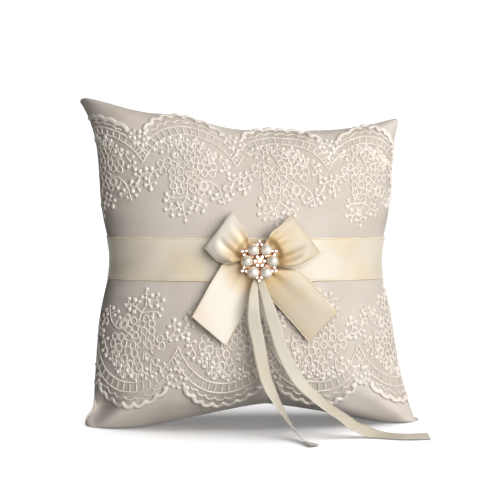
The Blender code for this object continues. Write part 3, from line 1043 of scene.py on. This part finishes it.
def build_pearls(gold, pearl_material):
    for number in range(6):
        angle = sixth_turn(number)
        x, up = PEARL_CIRCLE * math.cos(angle), PEARL_CIRCLE * math.sin(angle)
        middle = plate_point(x, up, PLATE_OUT + PEARL_RISE)
        bead = ball(f"pearl_bead_{number + 1}", middle, (PEARL_RADIUS, PEARL_RADIUS, PEARL_RADIUS))
        fit_to_brooch(bead, pearl_material, f"pearl_{number + 1}")
        cup = bead_circle(f"pearl_cup_{number + 1}", x, up, PLATE_OUT + WIRE_RISE, WIRE_CIRCLE, WIRE)
        fit_to_brooch(cup, gold)


def build_rosette(gold, stone_material):
    cup = turned_piece("rosette_cup", 0, 0, PLATE_OUT + CUP_RISE, CUP_PROFILE, 36)
    fit_to_brooch(cup, gold, "brooch_cup")
    for number in range(7):
        angle = sixth_turn(number)
        radius = 0.0 if number == 0 else ROSETTE_CIRCLE
        x, up = radius * math.cos(angle), radius * math.sin(angle)
        gem = stone(f"rosette_gem_{number + 1}", x, up, PLATE_OUT + ROSETTE_RISE, ROSETTE_GEM)
        fit_to_brooch(gem, stone_material, f"rosette_stone_{number + 1}")


def build_outer_gems(gold, stone_material):
    for number in range(6):
        angle = sixth_turn(number + 0.5)
        gems = []
        settings = []
        for along, off, size in OUTER_GEMS:
            x = along * math.cos(angle) - off * math.sin(angle)
            up = along * math.sin(angle) + off * math.cos(angle)
            gems.append(stone("gem", x, up, PLATE_OUT + OUTER_GEM_RISE, size))
            profile = ((0.1, 0.0), (size * 0.9, 0.0), (size * 1.2, 0.9), (size * 0.95, 1.0))
            settings.append(turned_piece("setting", x, up, PLATE_OUT + SETTING_RISE, profile, 12))
        trio = join(gems, f"outer_gems_{number + 1}")
        fit_to_brooch(trio, stone_material, f"outer_stone_{number + 1}")
        claws = join(settings, f"outer_claws_{number + 1}")
        fit_to_brooch(claws, gold)


def build_brooch(gold, pearl_material, stone_material):
    build_plate(gold)
    build_pearls(gold, pearl_material)
    build_rosette(gold, stone_material)
    build_outer_gems(gold, stone_material)


# ---------- ring ties

TIE_WIDTH = 8.0
FLOOR_CLEAR = 0.45
GATHER_LENGTH = 24.0
GATHERED_SHARE = 0.5


def tie_grid(points, twists):
    """A flat ribbon along (x, y, z) points. A twist turns its width from facing forwards, in degrees."""
    line = smooth_line(points, 10)
    turns = np.radians(smooth_line(np.array(twists, float)[:, None], 10)[:, 0])
    tangents = unit(np.gradient(line, axis=0))
    hanging = np.clip(np.abs(tangents[:, 2]) * 1.3, 0, 1)[:, None]
    facing = unit(np.array([0.0, -1.0, 0.0]) * hanging + np.array([0.0, 0.0, 1.0]) * (1 - hanging))
    sideways = unit(np.cross(tangents, facing))
    normals = np.cross(sideways, tangents)
    width = sideways * np.cos(turns)[:, None] + normals * np.sin(turns)[:, None]
    widths = TIE_WIDTH * np.interp(arc_length(line), (0, GATHER_LENGTH), (GATHERED_SHARE, 1))
    shares = np.linspace(-0.5, 0.5, 7)
    grid = line[:, None, :] + width[:, None, :] * widths[:, None, None] * shares[None, :, None]
    grid[..., 2] = np.maximum(grid[..., 2], FLOOR_CLEAR)
    return grid, line


def build_ties(material):
    left = (
        (-0.8, -38.5, 95), (-2.9, -41, 88), (-3.6, -43.5, 80), (-3.0, -44, 70), (-0.3, -44, 58),
        (1.9, -44, 47), (5.5, -44, 34), (10, -44, 25), (15, -44, 16.5), (19.5, -46, 9), (24, -53, 3),
        (28, -61, 0.9), (30.5, -65, 0.9),
    )
    left_twist = (0, 0, 0, 0, 5, 12, 25, 45, 65, 75, 62, 25, 10)
    right = (
        (0.8, -39, 95), (3.2, -41.5, 87), (5.4, -43.5, 80), (7.8, -44, 72), (10.3, -44, 64.8),
        (14, -44, 53.4), (19.5, -44, 42.5), (26, -44, 33), (34.7, -44, 25), (42, -44, 19),
        (51, -44, 12.6), (60, -44, 6.5), (72, -45, 1.8), (88, -50, 0.9), (104, -50, 1.0),
    )
    right_twist = (0, 0, 0, 0, 5, 8, 10, 18, 30, 35, 32, 20, -10, -14, -16)
    for name, node, points, twists in (
        ("left_tie", "ring_tie_left", left, left_twist),
        ("right_tie", "ring_tie_right", right, right_twist),
    ):
        grid, line = tie_grid(points, twists)
        # The routes are given in the frame's own x and y, so only their height is shifted.
        grid = grid - SHIFT * [1, 1, 0]
        line = line - SHIFT * [1, 1, 0]
        tie = add_grid(name, grid)
        thicken(tie, 0.25, 0.0)
        dress(tie, material)
        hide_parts(node)
        world = (line + SHIFT) * MM
        tuple(world[0])


# ---------- room, light and camera

CAMERA_AZIMUTH = math.radians(-9)
CAMERA_HEIGHT = math.radians(6.5)
CAMERA_DISTANCE = 0.95
TARGET = Vector((0.002, 0.008, 0.107))
SENSOR = 36.0
VIEW_WIDTH = 0.310
ROLL = math.radians(1.0)
WALL_AWAY = 6
WALL_MIDDLE = 3
# The lamps on the object: name, place and side in metres, power in watts, and colour.
LAMPS = (
    ("key", (0.66, -1.22, 0.55), 1.4, 33.0, (1.0, 0.985, 0.97)),
    ("front fill", (-0.35, -1.3, 0.45), 0.7, 2.8, (1.0, 0.98, 0.95)),
    ("top", (0.3, 0.2, 1.0), 0.5, 1.0, (1.0, 1.0, 1.0)),
    ("back fill", (0.45, 1.35, 0.5), 1.2, 9.0, (1.0, 0.98, 0.95)),
)
LAMPS_AIM = (0, 0, 0.1)
FLOOR_SUN_POWER = 3.3
FLOOR_SUN_SPREAD = math.radians(65)


def stage_plane(name, middle, size, turn, material):
    """A plane that the camera sees, and that throws no light back on the object."""
    mesh = bpy.data.meshes.new(name)
    half_x, half_y = size[0] / 2, size[1] / 2
    corners = [(-half_x, -half_y, 0), (half_x, -half_y, 0), (half_x, half_y, 0), (-half_x, half_y, 0)]
    mesh.from_pydata(corners, [], [(0, 1, 2, 3)])
    plane = bpy.data.objects.new(name, mesh)
    plane.location = middle
    plane.rotation_euler = turn
    plane.visible_diffuse = False
    plane.visible_shadow = False
    mesh.materials.append(material)
    bpy.context.scene.collection.objects.link(plane)
    return plane


def glowing(name, colour, strength):
    return new_material(name, colour, 0.9, Emission_Color=(1, 1, 1, 1), Emission_Strength=strength)


def build_stage():
    """A pale floor and four bright walls, so that the object stands in white from every side."""
    pale = glowing("studio white", (0.95, 0.95, 0.96), 0.19)
    bright = glowing("studio wall", (0.9, 0.9, 0.9), 1.0)
    floor = stage_plane("floor", (0, 0, -0.0005), (12, 12), (0, 0, 0), pale)
    stage = [floor]
    for number in range(4):
        turn = number * math.pi / 2
        place = (-WALL_AWAY * math.sin(turn), WALL_AWAY * math.cos(turn), WALL_MIDDLE)
        wall = stage_plane(f"wall_{number + 1}", place, (14, 8), (math.pi / 2, 0, turn), bright)
        wall.visible_glossy = False
        stage.append(wall)
    return stage


def add_lamp(name, place, side, power, colour):
    light = bpy.data.lights.new(name, "AREA")
    light.shape = "RECTANGLE"
    light.size = side
    light.size_y = side
    light.energy = power
    light.color = colour
    lamp = bpy.data.objects.new(name, light)
    lamp.location = place
    lamp.rotation_euler = (Vector(LAMPS_AIM) - Vector(place)).to_track_quat("-Z", "Y").to_euler()
    bpy.context.scene.collection.objects.link(lamp)
    return lamp


def shine_on(lamps, stage, state):
    """Keeps lamps to the stage alone, or off it."""
    for lamp in lamps:
        group = bpy.data.collections.new(lamp.name + " receivers")
        for plane in stage:
            group.objects.link(plane)
        for entry in group.collection_objects:
            entry.light_linking.link_state = state
        lamp.light_linking.receiver_collection = group


def build_lights(stage):
    world = bpy.data.worlds.new("studio")
    world.use_nodes = True
    background = world.node_tree.nodes["Background"]
    background.inputs["Color"].default_value = (1.0, 0.97, 0.92, 1)
    background.inputs["Strength"].default_value = 0.04
    bpy.context.scene.world = world
    lamps = [add_lamp(*lamp) for lamp in LAMPS]
    sun = bpy.data.lights.new("floor light", "SUN")
    sun.energy = FLOOR_SUN_POWER
    sun.angle = FLOOR_SUN_SPREAD
    overhead = bpy.data.objects.new("floor light", sun)
    bpy.context.scene.collection.objects.link(overhead)
    shine_on(lamps, stage, "EXCLUDE")
    shine_on([overhead], stage, "INCLUDE")


def build_camera():
    camera = bpy.data.cameras.new("camera")
    camera.sensor_width = SENSOR
    camera.lens = SENSOR * CAMERA_DISTANCE / VIEW_WIDTH
    holder = bpy.data.objects.new("camera", camera)
    level = math.cos(CAMERA_HEIGHT)
    direction = Vector(
        (math.sin(CAMERA_AZIMUTH) * level, -math.cos(CAMERA_AZIMUTH) * level, math.sin(CAMERA_HEIGHT))
    )
    holder.location = TARGET + direction * CAMERA_DISTANCE
    facing = (-direction).to_track_quat("-Z", "Y")
    holder.rotation_euler = (facing @ Quaternion((0, 0, 1), ROLL)).to_euler()
    bpy.context.scene.collection.objects.link(holder)
    bpy.context.scene.camera = holder
    bpy.context.scene.view_settings.view_transform = "Standard"


# ---------- the whole object


def main():
    build_camera()
    build_lights(build_stage())
    cloth = ground_cloth()
    thread = lace_thread()
    net = net_cloth()
    # The second colour of each satin is painted golden shade, for the folds by the knot and broad crease
    # patches.
    band_satin = satin("band satin", (0.64, 0.58, 0.48), (0.60, 0.47, 0.27))
    # The bright and golden satins are one ribbon in two copies, painted lit and painted shade.
    lit_satin_copy = satin("lit bright satin", (0.75, 0.71, 0.63), (0.70, 0.50, 0.25))
    shaded_satin_copy = satin("shaded golden satin", (0.54, 0.47, 0.36), (0.58, 0.40, 0.18))
    selvedge = selvedge_thread()
    tie_ribbon = satin("tie satin", (0.60, 0.555, 0.46), (0.52, 0.46, 0.33), Alpha=0.86)
    build_cover(cloth, back_cloth())
    build_seam(cloth)
    top_reach = RISE_ABOVE - RIBBON_HALF + 11.0
    bottom_reach = V_DEPTH + BOTTOM_V_DEPTH + 3.0
    build_lace("top_lace", "lace_top", place_top, range(-2, 3), top_reach, net, thread)
    build_lace("bottom_lace", "lace_bottom", place_bottom, range(-2, 3), bottom_reach, net, thread)
    build_band(band_satin, selvedge)
    build_bow(lit_satin_copy, shaded_satin_copy, selvedge)
    build_brooch(gold_metal(), pearl_skin(), clear_stone())
    build_ties(tie_ribbon)


main()
